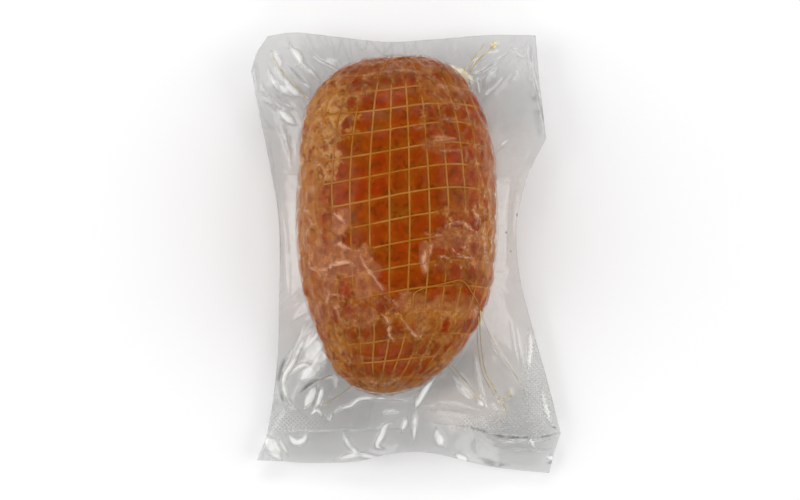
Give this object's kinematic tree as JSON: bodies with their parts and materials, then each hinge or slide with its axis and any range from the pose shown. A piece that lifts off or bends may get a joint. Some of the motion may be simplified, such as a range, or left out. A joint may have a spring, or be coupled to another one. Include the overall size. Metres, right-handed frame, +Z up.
{
  "type": "smoked chicken breast in a vacuum bag",
  "caption": "Egg-shaped smoked chicken breast in an elastic net, sealed in a clear vacuum bag with a flat creased margin of film all round.",
  "frame": {"origin": "on the table, under the middle of the bag", "axes": "+Z up through the shown side, +Y along the breast towards its blunt end, +X to the right seen from above"},
  "size_m": [0.1701, 0.2425, 0.0708],
  "materials": {
    "smoked_meat": "deep orange-brown smoked meat under tight wet film, with ochre fat and pinkish patches",
    "clear_film": "clear thin plastic film, creased and glossy, embossed on one side",
    "elastic_net": "elastic meat netting, smoke-stained ochre threads",
    "twine": "loose thread ends and knots, undyed cream cotton"
  },
  "bodies": {
    "root": {"vacuum_pack": "smoked_meat"}
  },
  "joints": []
}
